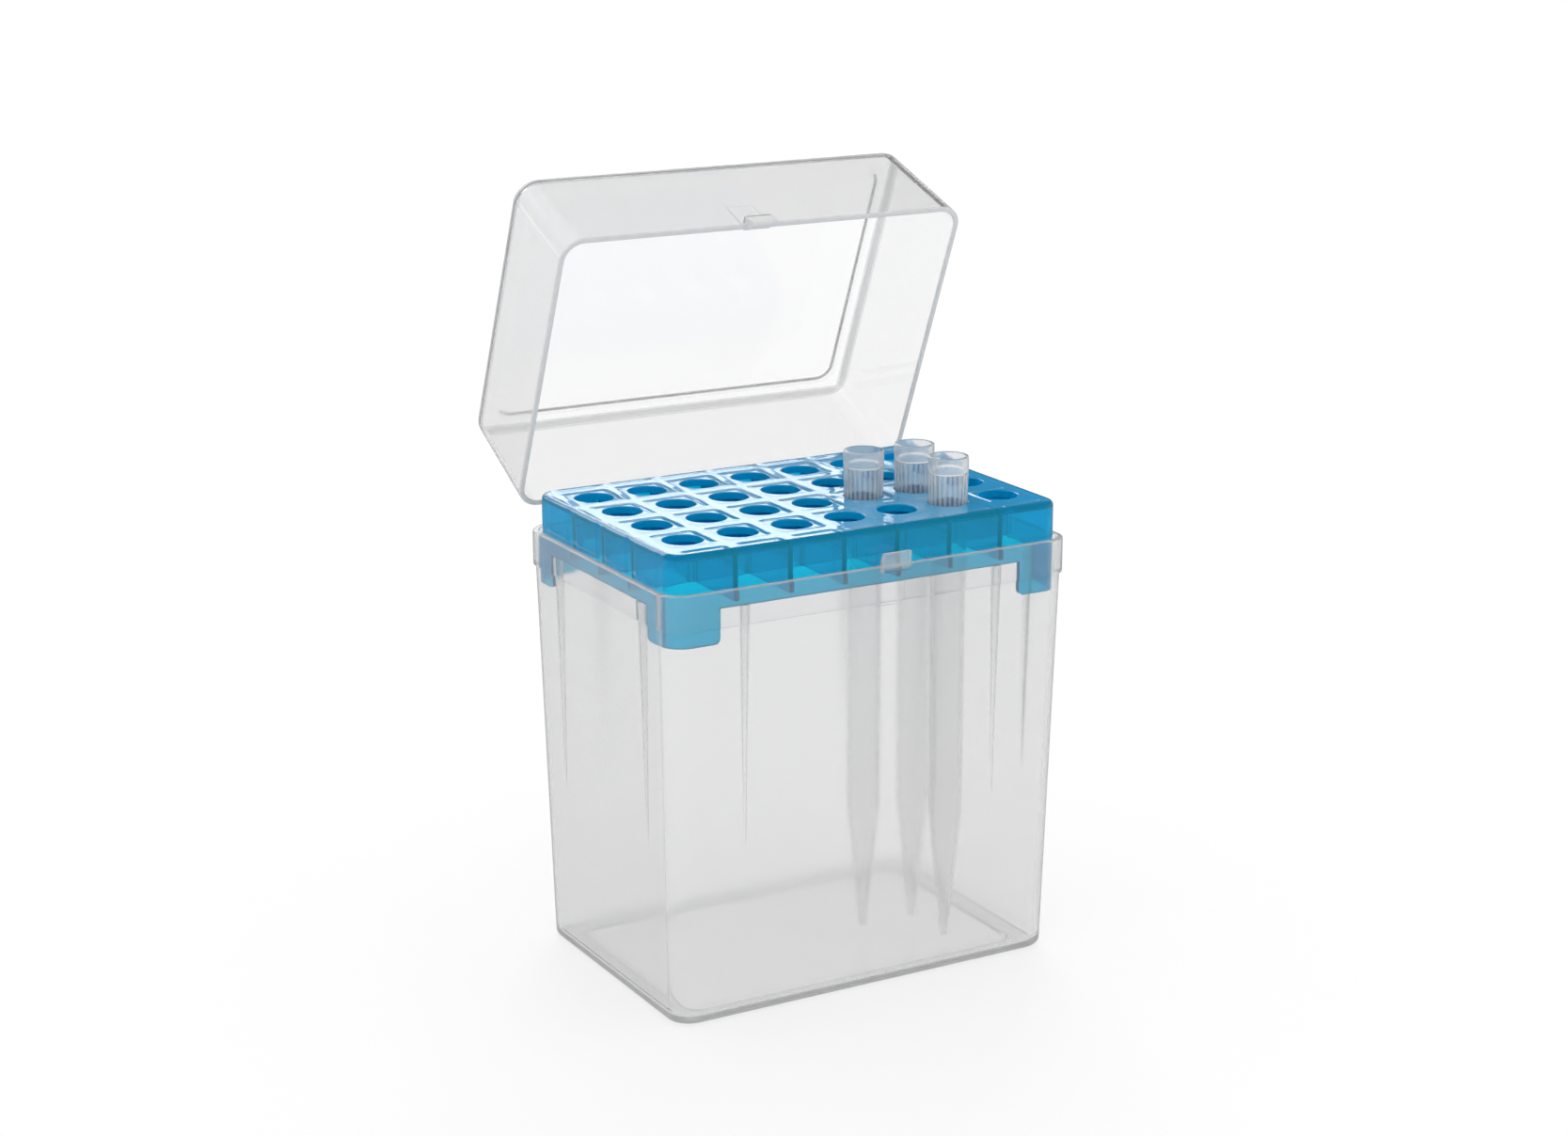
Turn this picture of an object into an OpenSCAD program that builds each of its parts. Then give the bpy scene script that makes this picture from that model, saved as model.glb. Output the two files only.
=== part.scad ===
// Box of pipette tips: a tall base with a hinged lid, a rack plate that sits in
// the base's mouth on eight ribs, and three long tips standing in the rack.
// Millimetres. +Z up, +Y to the hinge. The origin is the centre of the foot.

/* [Base] */
// Width over the rim band
base_w = 127.2; // [120:0.1:140]
// Depth over the rim band
base_d = 88.4; // [80:0.1:100]
// Height from the table to the rim
base_h = 122.5; // [118:0.5:140]
// Wall thickness
base_wall = 1.5; // [1.2:0.1:2]
// Floor thickness
floor_t = 1.5; // [1.2:0.1:3]
// Lean of each end wall, from the band down to the floor
base_lean_x = 2.9; // [1:0.1:4]
// Lean of the front and rear walls, from the band down to the floor
base_lean_y = 2.9; // [1:0.1:4]
// Radius of the upright corners at the rim
corner_r = 7; // [5:0.5:9]
// Radius of the edge round the bottom
bottom_r = 1.8; // [1.4:0.1:3]
// Radius of the edge round the floor inside
cove_r = 2.2; // [1.8:0.1:3]
// Height of the thicker band round the rim
band_h = 10; // [8:0.5:14]
// How far the band stands out from the wall below it
band_step = 0.5; // [0.3:0.1:0.8]
// Height of the foot under the floor
foot_h = 0.5; // [0.4:0.1:1.2]
// Distance from the side of the box to the foot
foot_inset = 7.2; // [6:0.1:9]

/* [Ribs] */
// Distance of the front and rear ribs from the middle
rib_x = 39.5; // [34:0.5:42]
// Distance of the end ribs from the middle
rib_y = 25.5; // [18:0.5:26]
// Length of each rib down the wall
rib_len = 72; // [30:1:90]
// Width of a rib at its top
rib_w = 2.2; // [1.6:0.1:3]
// Width of a rib at its lower end
rib_tail_w = 0.6; // [0.4:0.1:1]

/* [Rack] */
// Columns of holes
cols = 7; // [5:1:7]
// Rows of holes
rows = 4; // [3:1:4]
// Spacing of the columns
pitch_x = 16.6; // [15:0.1:17]
// Spacing of the rows
pitch_y = 17.8; // [15:0.1:18]
// Diameter of a hole
hole_d = 11; // [10.6:0.1:11.4]
// Thickness of the rack's top plate
plate_t = 2; // [1.6:0.1:3]
// Height of the plate's top above the rim
rack_rise = 10.4; // [9:0.1:12]
// Depth of the rack's skirt from the top of the plate
skirt_h = 15.5; // [14:0.1:18]
// Thickness of the skirt and the legs
skirt_t = 1.5; // [1.2:0.1:1.8]
// Thickness of the webs between the holes
web_t = 1.2; // [0.8:0.1:2]
// How far the webs stop short of the skirt's lower edge
web_short = 1; // [0.5:0.1:2]
// Gap between the skirt and the inside of the rim
rack_gap = 0.6; // [0.6:0.1:1.2]
// Radius of the rack's upright corners
rack_r = 5.5; // [5:0.5:8]
// Radius of the edge round the top plate
rack_edge_r = 1.5; // [1:0.1:1.8]
// Length of a leg below the skirt
leg_drop = 9.7; // [6:0.1:12]
// Width of a leg along the front and rear
leg_x = 14; // [10:0.5:18]
// Width of a leg along the ends
leg_y = 12.5; // [8:0.5:14]

/* [Tips] */
// Length of a tip
tip_len = 141.5; // [120:0.5:142]
// Height of a tip's mouth above the plate
tip_stand = 13.2; // [11:0.1:16]
// Diameter over the mouth
tip_mouth_d = 11.4; // [11.2:0.1:12]
// Length of the plain ring at the mouth
tip_ring_h = 4.3; // [3:0.1:6]
// Length of the ribbed collar below the ring
tip_collar_h = 15.1; // [12:0.1:18]
// Diameter of the body below the collar
tip_body_d = 9.7; // [9:0.1:10]
// Diameter where the body turns to the cone
tip_waist_d = 9.2; // [8:0.1:9.6]
// Length of the cone
tip_cone_len = 36.5; // [25:0.5:50]
// Diameter of the point
tip_point_d = 2; // [1.6:0.1:3]
// Wall thickness of the body
tip_wall = 0.7; // [0.5:0.1:0.9]
// Ribs round the collar
tip_ribs = 24; // [12:1:28]
// Width of a collar rib
tip_rib_w = 0.6; // [0.4:0.1:1]
// Clearance between a collar and its hole at the top of the plate
tip_gap = 0.03; // [0.01:0.01:0.05]
// How far the collar ribs stand out at the ring
tip_rib_out = 0.45; // [0.3:0.05:0.6]
// Wall thickness of the ring and the collar
tip_mouth_wall = 0.9; // [0.7:0.1:1.2]

/* [Lid] */
// Height of the lid
lid_h = 35.5; // [33:0.5:45]
// Wall thickness of the lid
lid_wall = 1.6; // [1.2:0.1:1.8]
// Lean of the lid's walls from the rim up to the top
lid_lean = 1.3; // [0.8:0.1:2]
// Radius of the edge round the lid's top
lid_edge_r = 2; // [1.5:0.5:4]
// Radius of the edge inside the lid's top
lid_cove_r = 1; // [0.5:0.5:2]
// Width of the border round the sunken field in the lid's top
field_border = 6; // [5:0.5:9]
// Depth of the sunken field
field_depth = 1.1; // [0.6:0.1:1.5]
// How far the sides of the field slope in
field_slope = 1.5; // [1:0.1:2.5]
// Gap between the two rims when the lid is shut
rim_gap = 0.1; // [0.05:0.05:0.3]
// Angle that the lid stands open
open_angle = 66.8; // [60:0.1:75]

/* [Hinge] */
// Distance of the pins behind the rear of the band
hinge_out = 5.5; // [5.5:0.1:7]
// Distance of the pins below the rim
hinge_drop = 1.5; // [1.5:0.1:3]
// Diameter of a pin
pin_d = 3.2; // [2.6:0.1:3.6]
// Clearance round a pin
pin_gap = 0.05; // [0.02:0.01:0.1]
// Diameter of the eyes and of the ears
eye_d = 6.6; // [6:0.1:7]
// Distance of the inner face of each ear from the middle
ear_x = 34; // [20:0.5:36]
// Thickness of an ear
ear_t = 4; // [3:0.5:5]
// Thickness of a lid arm
arm_t = 5; // [4:0.5:6]
// Side gap between an ear and an arm
arm_gap = 0.3; // [0.2:0.05:0.5]
// Height of an arm's root on the lid's wall
arm_root_h = 4.6; // [4:0.1:6]
// Gap between an arm's heel and the band when the lid is open
stop_gap = 0.03; // [0.01:0.01:0.1]
// Height of the face of the heel that meets the band
heel_h = 3; // [2:0.1:4]
// Distance of that face's upper edge below the pin
heel_drop = 1.6; // [1:0.1:2]

/* [Latch tabs] */
// Distance of the split between the two tabs from the middle
latch_x = 0.4; // [-5:0.1:8]
// Gap between the two tabs
tab_gap = 0.4; // [0.3:0.1:1]
// Width of the base's tab
base_tab_w = 8.6; // [6:0.1:12]
// Height of the base's tab above its rim
base_tab_h = 4.3; // [3:0.1:5]
// How far the base's tab stands out at its tip
base_tab_out = 2.4; // [2.2:0.1:3.2]
// Width of the lid's tab
lid_tab_w = 8.3; // [6:0.1:12]
// Depth of the lid's tab below its rim, with the lid shut
lid_tab_h = 3.8; // [3:0.1:5]
// How far the lid's tab stands out at its tip
lid_tab_out = 2.9; // [2.2:0.1:3.2]
// Length of a tab's root along its own wall
tab_root = 1.2; // [0.8:0.1:2]
// How far a tab stands out at its root
tab_out = 2.1; // [1.7:0.1:2.2]
// Thickness of a tab at its tip
tab_t = 1; // [0.8:0.1:1.2]
// Gap between a tab and the other wall, with the lid shut
tab_clear = 0.35; // [0.2:0.05:0.5]
// Length of a tab's thick part beyond its rim
tab_step = 2; // [1:0.1:2.5]
// Length of the pad on the inside of the wall behind each tab
pad_h = 11.3; // [8:0.1:12]
// Thickness of a pad
pad_t = 0.25; // [0.15:0.05:0.3]

/* [Hidden] */
$fn = 64;
// Facets on the parts of a hull
hull_fn = 32;
// How far joined shapes reach into each other
sink = 0.4;
// Extra length on a cut
cut = 1;

// Column and row, counted from the front left hole, of each tip
tip_places = [[4, 1], [5, 1], [5, 0]];

base_half = [base_w / 2, base_d / 2];
wall_half = base_half - [band_step, band_step];
floor_half = wall_half - [base_lean_x, base_lean_y];
mouth_half = wall_half - [base_wall, base_wall];
band_z = base_h - band_h;
base_floor_z = foot_h + floor_t;
foot_half = floor_half - [foot_inset, foot_inset];

rack_half = mouth_half - [rack_gap, rack_gap];
plate_z = base_h + rack_rise;
skirt_z = plate_z - skirt_h;
leg_z = skirt_z - leg_drop;
web_z = skirt_z + web_short;

rib_root = base_wall * 0.5;
rib_reach = rack_gap + skirt_t;

lid_top_half = base_half - [lid_lean, lid_lean];
lid_corner_top_r = corner_r - lid_lean;
field_half = lid_top_half - [field_border, field_border];
lid_z = base_h + rim_gap;

hinge_y = base_half.y + hinge_out;
hinge_z = base_h - hinge_drop;
arm_x = ear_x + ear_t + arm_gap;
pin_len = ear_t / 2 + arm_gap + arm_t;

hole_r = hole_d / 2;
mouth_r = tip_mouth_d / 2;
seat_r = hole_r - tip_gap;
collar_end = tip_ring_h + tip_collar_h;
collar_slope = (mouth_r - seat_r) / (tip_stand - tip_ring_h);
collar_tail_r = mouth_r - collar_slope * tip_collar_h;
tip_core_r = mouth_r - tip_rib_out;
tip_mouth_z = plate_z + tip_stand;

// How fast the inside of a base wall moves in, per millimetre down
function base_slope(lean) = lean / (base_h - base_floor_z - cove_r);
lid_slope = lid_lean / (lid_h - lid_wall - lid_cove_r);

function hole_at(col, row) = [(col - (cols - 1) / 2) * pitch_x, (row - (rows - 1) / 2) * pitch_y];

// ---- shared shapes ----

// Rectangle of the given half sizes with round corners
module round_rect(half, r) {
    square([2 * (half.x - r), 2 * half.y], center = true);
    square([2 * half.x, 2 * (half.y - r)], center = true);
    at_corners(half - [r, r]) circle(r);
}

// The children at the four corners of a rectangle
module at_corners(half)
    for (sx = [-1, 1], sy = [-1, 1])
        translate([sx * half.x, sy * half.y]) children();

// Puck with a rounded edge on one face, at z = 0
module puck(r, edge_r, height, $fn = hull_fn)
    rotate_extrude() {
        square([r - edge_r, height]);
        translate([0, edge_r]) square([r, height - edge_r]);
        translate([r - edge_r, edge_r]) intersection() {
            circle(edge_r);
            translate([0, -edge_r]) square(edge_r);
        }
    }

// Box whose walls lean from one outline to a larger one, with its small end
// rounded and down at z = 0
module leaning_box(small_half, small_r, large_half, large_r, edge_r, height)
    hull() {
        at_corners(small_half - [small_r, small_r]) puck(small_r, edge_r, edge_r + 0.5);
        translate([0, 0, height - 0.5]) at_corners(large_half - [large_r, large_r])
            cylinder(r = large_r, h = 0.5, $fn = hull_fn);
    }

// Outline in Y and Z, drawn as X and Y, made into a plate from x = 0 to x = t
module side_plate(t) rotate([90, 0, 90]) linear_extrude(t) children();

// The children on both sides of the YZ plane
module both_sides() {
    children();
    mirror([1, 0, 0]) children();
}

// ---- base ----

module base_box()
    color([0.88, 0.89, 0.89, 0.5]) {
        base_shell();
        for (sx = [-1, 1]) {
            translate([sx * rib_x, 0]) wall_rib(mouth_half.y, base_lean_y);
            translate([sx * rib_x, 0]) rotate(180) wall_rib(mouth_half.y, base_lean_y);
            translate([0, sx * rib_y]) rotate(90) wall_rib(mouth_half.x, base_lean_x);
            translate([0, sx * rib_y]) rotate(-90) wall_rib(mouth_half.x, base_lean_x);
        }
        both_sides() hinge_ear();
        base_tab();
    }

module base_shell()
    difference() {
        union() {
            translate([0, 0, foot_h]) leaning_box(
                floor_half, corner_r - 1, wall_half, corner_r, bottom_r, base_h - foot_h
            );
            translate([0, 0, band_z]) linear_extrude(band_h) round_rect(base_half, corner_r + band_step);
            linear_extrude(foot_h + sink) round_rect(foot_half, corner_r);
        }
        // The inside, down to the floor, which steps down over the foot
        translate([0, 0, base_floor_z]) leaning_box(
            floor_half - [base_wall, base_wall], corner_r - 1 - base_wall, mouth_half,
            corner_r - base_wall, cove_r, base_h - base_floor_z
        );
        translate([0, 0, floor_t]) linear_extrude(foot_h + cut)
            round_rect(foot_half - [floor_t, floor_t], corner_r - floor_t);
        translate([0, 0, base_h - cut / 2]) linear_extrude(cut) round_rect(mouth_half, corner_r - base_wall);
    }

// Rib on the inside of the rear wall, tapering downwards, with its top under the skirt
module wall_rib(mouth, lean) {
    tail_z = skirt_z - rib_len;
    tail_in = base_slope(lean) * (base_h - tail_z);
    intersection() {
        translate([-rib_w / 2, 0]) side_plate(rib_w) polygon([
            [mouth + rib_root, skirt_z], [mouth - rib_reach, skirt_z],
            [mouth - tail_in, tail_z], [mouth + rib_root - tail_in, tail_z],
        ]);
        rotate([90, 0, 0]) translate([0, 0, -mouth - 2 * rib_reach]) linear_extrude(4 * rib_reach)
            polygon([
                [-rib_w / 2, skirt_z], [rib_w / 2, skirt_z],
                [rib_tail_w / 2, tail_z], [-rib_tail_w / 2, tail_z],
            ]);
    }
}

// Ear behind the rear wall, with the pin that one lid arm turns on
module hinge_ear()
    translate([ear_x, hinge_y, hinge_z]) {
        eye_r = eye_d / 2;
        side_plate(ear_t) {
            circle(eye_r);
            polygon([
                [-hinge_out - sink, -band_h + hinge_drop], [0, -eye_r], [0, eye_r],
                [-hinge_out - sink, hinge_drop - 0.4],
            ]);
        }
        translate([ear_t / 2, 0, 0]) rotate([0, 90, 0]) cylinder(d = pin_d, h = pin_len);
    }

// Thumb tab that rises beside the lid's
module base_tab()
    translate([latch_x + tab_gap / 2, -base_half.y, base_h]) mirror([0, 1, 0])
        thumb_tab(base_tab_w, base_tab_h, base_tab_out, band_step + base_wall, base_slope(base_lean_y));

// Thumb tab outside a wall of the given thickness, with the wall's outside at
// y = 0 and its rim at z = 0, and the pad inside that wall
module thumb_tab(width, height, tip_out, wall, wall_slope)
    side_plate(width) {
        polygon([
            [-sink, -tab_root], [tab_out, -tab_root], [tip_out, height], [tip_out - tab_t, height],
            [tab_clear, tab_step], [tab_clear, 0], [-sink, 0],
        ]);
        pad_in = wall_slope * pad_h;
        polygon([
            [sink - wall, 0], [-wall - pad_t, 0],
            [-wall - pad_t - pad_in, -pad_h], [sink - wall - pad_in, -pad_h],
        ]);
    }

// ---- rack ----

module tip_rack()
    color([0.1, 0.5, 0.76]) difference() {
        union() {
            rack_shell();
            rack_webs();
        }
        for (col = [0 : cols - 1], row = [0 : rows - 1])
            translate(concat(hole_at(col, row), web_z)) cylinder(d = hole_d, h = plate_z - web_z + cut);
    }

module rack_shell()
    difference() {
        translate([0, 0, plate_z]) mirror([0, 0, 1]) hull()
            at_corners(rack_half - [rack_r, rack_r]) puck(rack_r, rack_edge_r, plate_z - leg_z);
        translate([0, 0, leg_z - cut]) linear_extrude(plate_z - plate_t - leg_z + cut)
            round_rect(rack_half - [skirt_t, skirt_t], rack_r - skirt_t);
        // The gaps between the legs
        leg_gap = skirt_z - leg_z + cut;
        translate([leg_x - rack_half.x, -base_d / 2, leg_z - cut]) cube([2 * (rack_half.x - leg_x), base_d, leg_gap]);
        translate([-base_w / 2, leg_y - rack_half.y, leg_z - cut]) cube([base_w, 2 * (rack_half.y - leg_y), leg_gap]);
    }

module rack_webs() {
    inside = rack_half - [skirt_t, skirt_t] + [sink, sink];
    web_h = plate_z - plate_t - web_z + sink;
    translate([0, 0, web_z]) {
        for (i = [1 : cols - 1])
            translate([hole_at(i - 0.5, 0).x - web_t / 2, -inside.y, 0]) cube([web_t, 2 * inside.y, web_h]);
        for (j = [1 : rows - 1])
            translate([-inside.x, hole_at(0, j - 0.5).y - web_t / 2, 0]) cube([2 * inside.x, web_t, web_h]);
    }
}

// ---- tips ----

// Tip hanging from the hole that its place names
module tip(place)
    color([0.8, 0.85, 0.88, 0.6])
        translate(concat(hole_at(place[0], place[1]), tip_mouth_z - tip_len)) {
            rotate_extrude() tip_section();
            for (i = [0 : tip_ribs - 1]) rotate(i * 360 / tip_ribs) collar_rib();
        }

// Half section of a tip, with its point at y = 0 and its mouth at y = tip_len
module tip_section() {
    collar_z = tip_len - collar_end;
    ring_z = tip_len - tip_ring_h;
    body_r = tip_body_d / 2;
    waist_r = tip_waist_d / 2;
    point_r = tip_point_d / 2;
    lead = 0.3;
    polygon([
        [point_r, 0], [waist_r, tip_cone_len], [body_r, collar_z], [tip_core_r - 0.1, collar_z + 0.4],
        [tip_core_r, ring_z - tip_rib_out], [mouth_r, ring_z], [mouth_r, tip_len - lead], [mouth_r - lead, tip_len],
        [mouth_r - tip_mouth_wall, tip_len], [tip_core_r - tip_mouth_wall, ring_z],
        [body_r - tip_wall, collar_z], [waist_r - tip_wall, tip_cone_len], [point_r * 0.5, 0],
    ]);
}

// Rib down the collar, whose edge wedges in the hole at the top of the plate
module collar_rib()
    translate([0, tip_rib_w / 2, 0]) rotate([90, 0, 0]) linear_extrude(tip_rib_w) polygon([
        [tip_core_r - tip_mouth_wall / 2, tip_len - collar_end], [collar_tail_r, tip_len - collar_end],
        [mouth_r - 0.02, tip_len - tip_ring_h], [tip_core_r - tip_mouth_wall / 2, tip_len - tip_ring_h],
    ]);

// ---- lid ----

// Lid turned back on its hinge until the heels of its arms meet the band
module lid()
    color([0.92, 0.93, 0.93, 0.45])
        translate([0, hinge_y, hinge_z]) rotate([-open_angle, 0, 0]) translate([0, -hinge_y, -hinge_z])
            shut_lid();

module shut_lid()
    difference() {
        union() {
            lid_shell();
            lid_tab();
            both_sides() lid_arm();
        }
        both_sides() translate([arm_x - cut / 2, hinge_y, hinge_z]) rotate([0, 90, 0])
            cylinder(d = pin_d + 2 * pin_gap, h = arm_t + cut);
    }

module lid_shell() {
    top_z = lid_z + lid_h;
    difference() {
        translate([0, 0, top_z]) mirror([0, 0, 1])
            leaning_box(lid_top_half, lid_corner_top_r, base_half, corner_r, lid_edge_r, lid_h);
        translate([0, 0, top_z - lid_wall]) mirror([0, 0, 1]) lid_hollow();
        translate([0, 0, top_z]) mirror([0, 0, 1]) field(0, -cut);
    }
}

// The space inside the lid, with the underside of the sunken field left standing
module lid_hollow()
    difference() {
        leaning_box(
            lid_top_half - [lid_wall, lid_wall], lid_corner_top_r - lid_wall,
            base_half - [lid_wall, lid_wall], corner_r - lid_wall, lid_cove_r, lid_h - lid_wall + cut
        );
        field(lid_wall / 2, -sink);
    }

// Sunken field, wide side at z = start and narrow side at z = field_depth
module field(grow, start) {
    wide = field_half + [grow, grow];
    narrow = wide - [field_slope, field_slope];
    hull() {
        translate([0, 0, start]) linear_extrude(0.01 - start) round_rect(wide, lid_corner_top_r - 1, $fn = hull_fn);
        translate([0, 0, field_depth - 0.01]) linear_extrude(0.01)
            round_rect(narrow, lid_corner_top_r - 2, $fn = hull_fn);
    }
}

// Thumb tab that hangs beside the base's
module lid_tab()
    translate([latch_x - tab_gap / 2 - lid_tab_w, -base_half.y, lid_z]) mirror([0, 1, 0]) mirror([0, 0, 1])
        thumb_tab(lid_tab_w, lid_tab_h, lid_tab_out, lid_wall, lid_slope);

// Arm behind the lid's rear wall, with the eye that turns on a pin and the heel
// that stops against the band
module lid_arm() {
    eye_r = eye_d / 2;
    root_y = -hinge_out - lid_wall / 2;
    root_z = lid_z - hinge_z;
    heel_y = -hinge_out + stop_gap;
    translate([arm_x, hinge_y, hinge_z]) side_plate(arm_t) {
        circle(eye_r);
        polygon([
            [root_y, root_z], [-hinge_out, root_z], [-eye_r, 0], [0, -eye_r], [eye_r, 0],
            [-hinge_out + 1, root_z + arm_root_h], [root_y, root_z + arm_root_h],
        ]);
        rotate(open_angle) polygon([
            [heel_y, -heel_drop], [heel_y, -heel_drop - heel_h], [-eye_r / 2, -eye_r * 0.86], [-eye_r * 0.86, eye_r / 2],
        ]);
    }
}

base_box();
lid();
tip_rack();
tip(tip_places[0]);  // tip_1
tip(tip_places[1]);  // tip_2
tip(tip_places[2]);  // tip_3
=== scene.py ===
"""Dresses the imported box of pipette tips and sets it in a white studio.

Every piece is modelled in millimetres with Blender's own operators, then brought to
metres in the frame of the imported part. Each class holds the sizes of one moulding.
"""

import enum
import logging
import math
from collections.abc import Callable, Sequence
from dataclasses import dataclass, field

import bmesh
import bpy
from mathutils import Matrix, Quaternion, Vector


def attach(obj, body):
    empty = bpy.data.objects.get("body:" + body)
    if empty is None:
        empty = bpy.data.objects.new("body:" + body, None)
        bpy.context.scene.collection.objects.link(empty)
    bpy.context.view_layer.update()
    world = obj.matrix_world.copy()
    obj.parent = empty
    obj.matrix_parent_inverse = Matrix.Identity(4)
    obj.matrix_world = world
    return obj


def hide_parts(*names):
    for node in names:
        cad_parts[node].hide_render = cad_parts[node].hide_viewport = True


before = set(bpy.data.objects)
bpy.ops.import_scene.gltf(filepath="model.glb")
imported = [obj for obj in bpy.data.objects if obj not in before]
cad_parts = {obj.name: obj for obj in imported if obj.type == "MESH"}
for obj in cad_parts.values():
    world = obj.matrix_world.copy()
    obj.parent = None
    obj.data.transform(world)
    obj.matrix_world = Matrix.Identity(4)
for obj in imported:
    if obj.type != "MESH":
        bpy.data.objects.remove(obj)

logging.basicConfig(level=logging.INFO, format="%(name)s: %(message)s")
LOG = logging.getLogger("tip_box")

MM = 0.001
WHITE = (1.0, 1.0, 1.0, 1.0)

# How near and how steep, for the tests that pick corners, edges and faces, in millimetres and radians.
CLOSE = 0.01
DOUBLED = 1e-4
SHARP = 1.2
FLAT = 0.9995
RING = (0.93, 1.005)

# What the base and the lid share, in millimetres: half the rim, the hinge's line and the radius of its eyes.
RIM = (63.6, 44.2)
HINGE = (49.7, 121.0)
EYE_R = 3.3


# ---- modelling ----


class Element(enum.Enum):
    """What a selection is made of."""

    VERTEX = "VERT"
    EDGE = "EDGE"
    FACE = "FACE"


def deselect_all() -> None:
    """Leaves edit mode and clears the selection."""
    if bpy.context.mode != "OBJECT":
        bpy.ops.object.mode_set(mode="OBJECT")
    bpy.ops.object.select_all(action="DESELECT")


def settle() -> None:
    """Works the place, turn and scale of the selected object into its mesh."""
    bpy.ops.object.transform_apply(location=True, rotation=True, scale=True)


class Model:
    """One mesh under the modelling operators, in millimetres."""

    def __init__(self, name: str) -> None:
        """Takes over the object that an operator has just added.

        Args:
            name: The name for the object and its mesh.
        """
        self.obj = bpy.context.active_object
        self.rename(name)

    def rename(self, name: str) -> None:
        """Names the object and its mesh."""
        self.obj.name = self.obj.data.name = name

    def pick(self) -> None:
        """Selects this model alone, in object mode."""
        deselect_all()
        self.obj.select_set(True)
        bpy.context.view_layer.objects.active = self.obj

    @classmethod
    def block(cls, name: str, low: Sequence[float], high: Sequence[float]) -> "Model":
        """Adds a block between two corners.

        Args:
            name: The model's name.
            low: The lowest corner.
            high: The highest corner.

        Returns:
            The model, in object mode.
        """
        deselect_all()
        centre = [(a + b) / 2 for a, b in zip(low, high)]
        size = [b - a for a, b in zip(low, high)]
        bpy.ops.mesh.primitive_cube_add(size=1, location=centre, scale=size)
        settle()
        return cls(name)

    @classmethod
    def rod(cls, name: str, radius: float, left: Sequence[float], length: float, sides: int) -> "Model":
        """Adds a cylinder that lies along X.

        Args:
            name: The model's name.
            radius: The radius.
            left: The centre of its left end.
            length: The length.
            sides: How many sides it has.

        Returns:
            The model, in object mode.
        """
        deselect_all()
        centre = Vector(left) + Vector((length / 2, 0, 0))
        turn = (0, math.pi / 2, 0)
        bpy.ops.mesh.primitive_cylinder_add(
            vertices=sides, radius=radius, depth=length, location=centre, rotation=turn
        )
        settle()
        return cls(name)

    @classmethod
    def outline(cls, name: str, points: Sequence[tuple[float, float]], x: float, width: float) -> "Model":
        """Adds a plate cut to an outline in Y and Z.

        Args:
            name: The model's name.
            points: The corners of the outline, in order round it.
            x: Where its left face lies.
            width: How far it reaches to the right.

        Returns:
            The model, in object mode.
        """
        model = cls.ring(name, [(x, y, z) for y, z in points], filled=True)
        model.select_all()
        bpy.ops.mesh.extrude_region_move(TRANSFORM_OT_translate={"value": (width, 0, 0)})
        model.face_outwards()
        return model.done()

    @classmethod
    def ring(cls, name: str, points: Sequence[Sequence[float]], filled: bool = False) -> "Model":
        """Adds a closed ring of edges, each corner moved to its own place.

        Args:
            name: The model's name.
            points: The corners.
            filled: Whether a face fills the ring.

        Returns:
            The model, in edit mode.
        """
        deselect_all()
        fill = "NGON" if filled else "NOTHING"
        bpy.ops.mesh.primitive_circle_add(vertices=len(points), radius=1, fill_type=fill)
        model = cls(name)
        mesh = model.edit()
        mesh.verts.ensure_lookup_table()
        starts = [vert.co.copy() for vert in mesh.verts]
        for index, (start, point) in enumerate(zip(starts, points)):
            model.select(Element.VERTEX, lambda vert, wanted=index: vert.index == wanted)
            bpy.ops.transform.translate(value=Vector(point) - start)
        return model

    def edit(self) -> bmesh.types.BMesh:
        """Enters edit mode on this model alone and returns its edit mesh."""
        if bpy.context.mode != "OBJECT" and bpy.context.edit_object is not self.obj:
            bpy.ops.object.mode_set(mode="OBJECT")
        if bpy.context.mode == "OBJECT":
            self.pick()
            bpy.ops.object.mode_set(mode="EDIT")
        return bmesh.from_edit_mesh(self.obj.data)

    def done(self) -> "Model":
        """Leaves edit mode."""
        if bpy.context.mode != "OBJECT":
            bpy.ops.object.mode_set(mode="OBJECT")
        return self

    def select(self, kind: Element, test: Callable[..., bool]) -> int:
        """Selects in edit mode what a test picks, and nothing else.

        Args:
            kind: Which elements the test looks at.
            test: Takes an element and says whether it is wanted.

        Returns:
            How many were selected.
        """
        self.edit()
        bpy.ops.mesh.select_mode(type=kind.value)
        bpy.ops.mesh.select_all(action="DESELECT")
        mesh = bmesh.from_edit_mesh(self.obj.data)
        items = {Element.VERTEX: mesh.verts, Element.EDGE: mesh.edges, Element.FACE: mesh.faces}[kind]
        chosen = [item for item in items if test(item)]
        for item in chosen:
            item.select_set(True)
        mesh.select_flush_mode()
        bmesh.update_edit_mesh(self.obj.data)
        return len(chosen)

    def select_all(self) -> None:
        """Selects the whole mesh in edit mode."""
        self.edit()
        bpy.ops.mesh.select_all(action="SELECT")

    def face_outwards(self) -> None:
        """Merges doubled corners and turns all faces outwards."""
        self.select_all()
        bpy.ops.mesh.remove_doubles(threshold=DOUBLED)
        bpy.ops.mesh.normals_make_consistent(inside=False)

    def grow(self, factors: Sequence[float]) -> None:
        """Scales the selection about the origin, by a factor along each axis."""
        bpy.ops.transform.resize(value=factors, center_override=(0, 0, 0))

    def shift(self, move: Sequence[float]) -> None:
        """Moves the selection."""
        bpy.ops.transform.translate(value=move)

    def take_cap(self, sign: int) -> None:
        """Selects the flat face that closes the top, for sign 1, or the underside, for sign -1."""
        self.select(Element.FACE, lambda face: face.normal.z * sign > FLAT)

    def inset(self, thickness: float, depth: float = 0.0) -> None:
        """Insets the selected face, and raises what is left of it by a depth."""
        bpy.ops.mesh.inset(thickness=thickness, depth=depth)

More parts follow.
